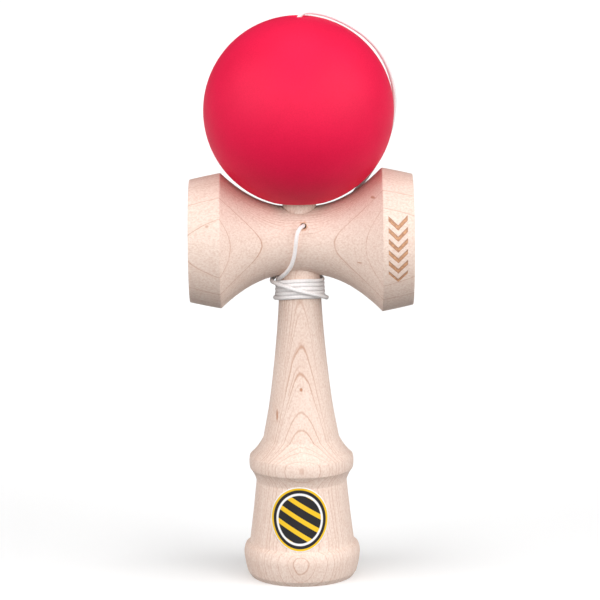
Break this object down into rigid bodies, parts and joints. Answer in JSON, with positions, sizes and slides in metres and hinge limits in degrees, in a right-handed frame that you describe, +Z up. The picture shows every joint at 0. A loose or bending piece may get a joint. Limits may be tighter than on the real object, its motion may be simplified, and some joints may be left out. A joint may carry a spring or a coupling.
{
  "type": "kendama",
  "caption": "Turned wooden ken with spike, collar and base cup, a crosspiece with a large and a small cup, and a painted ball on a string that sits on the spike.",
  "frame": {"origin": "on the ken's axis, in the plane of the base cup's rim that the toy stands on", "axes": "+Z up along the ken towards the spike, +X towards the large cup, -Y towards the label and the string hole"},
  "size_m": [0.0706, 0.06, 0.1817],
  "materials": {
    "ken_wood": "sanded pale maple, unvarnished",
    "sarado_wood": "sanded pale maple, unvarnished",
    "tama_paint": "matte rubbery red paint over wood",
    "string": "white braided nylon",
    "bead": "plain turned bead",
    "label": null
  },
  "bodies": {
    "ken_body": {"ken": "ken_wood", "sarado": "sarado_wood", "label": "label", "ken_knot": "string", "string_lead": "string", "string_wraps": "string"},
    "string_end": {"string_run": "string", "string_bead": "bead", "string_stop_knot": "string"},
    "tama_body": {"tama": "tama_paint"}
  },
  "joints": [
    {"name": "tama_lift", "type": "slide", "parent": "ken_body", "child": "string_end", "axis": [0, 0, 1], "range_m": [0, 0.045], "deforming": ["string_run"]},
    {"name": "tama_spin", "type": "hinge", "parent": "string_end", "child": "tama_body", "pos_m": [0, 0, 0.1502], "axis": [0, 0, 1], "continuous": true}
  ]
}
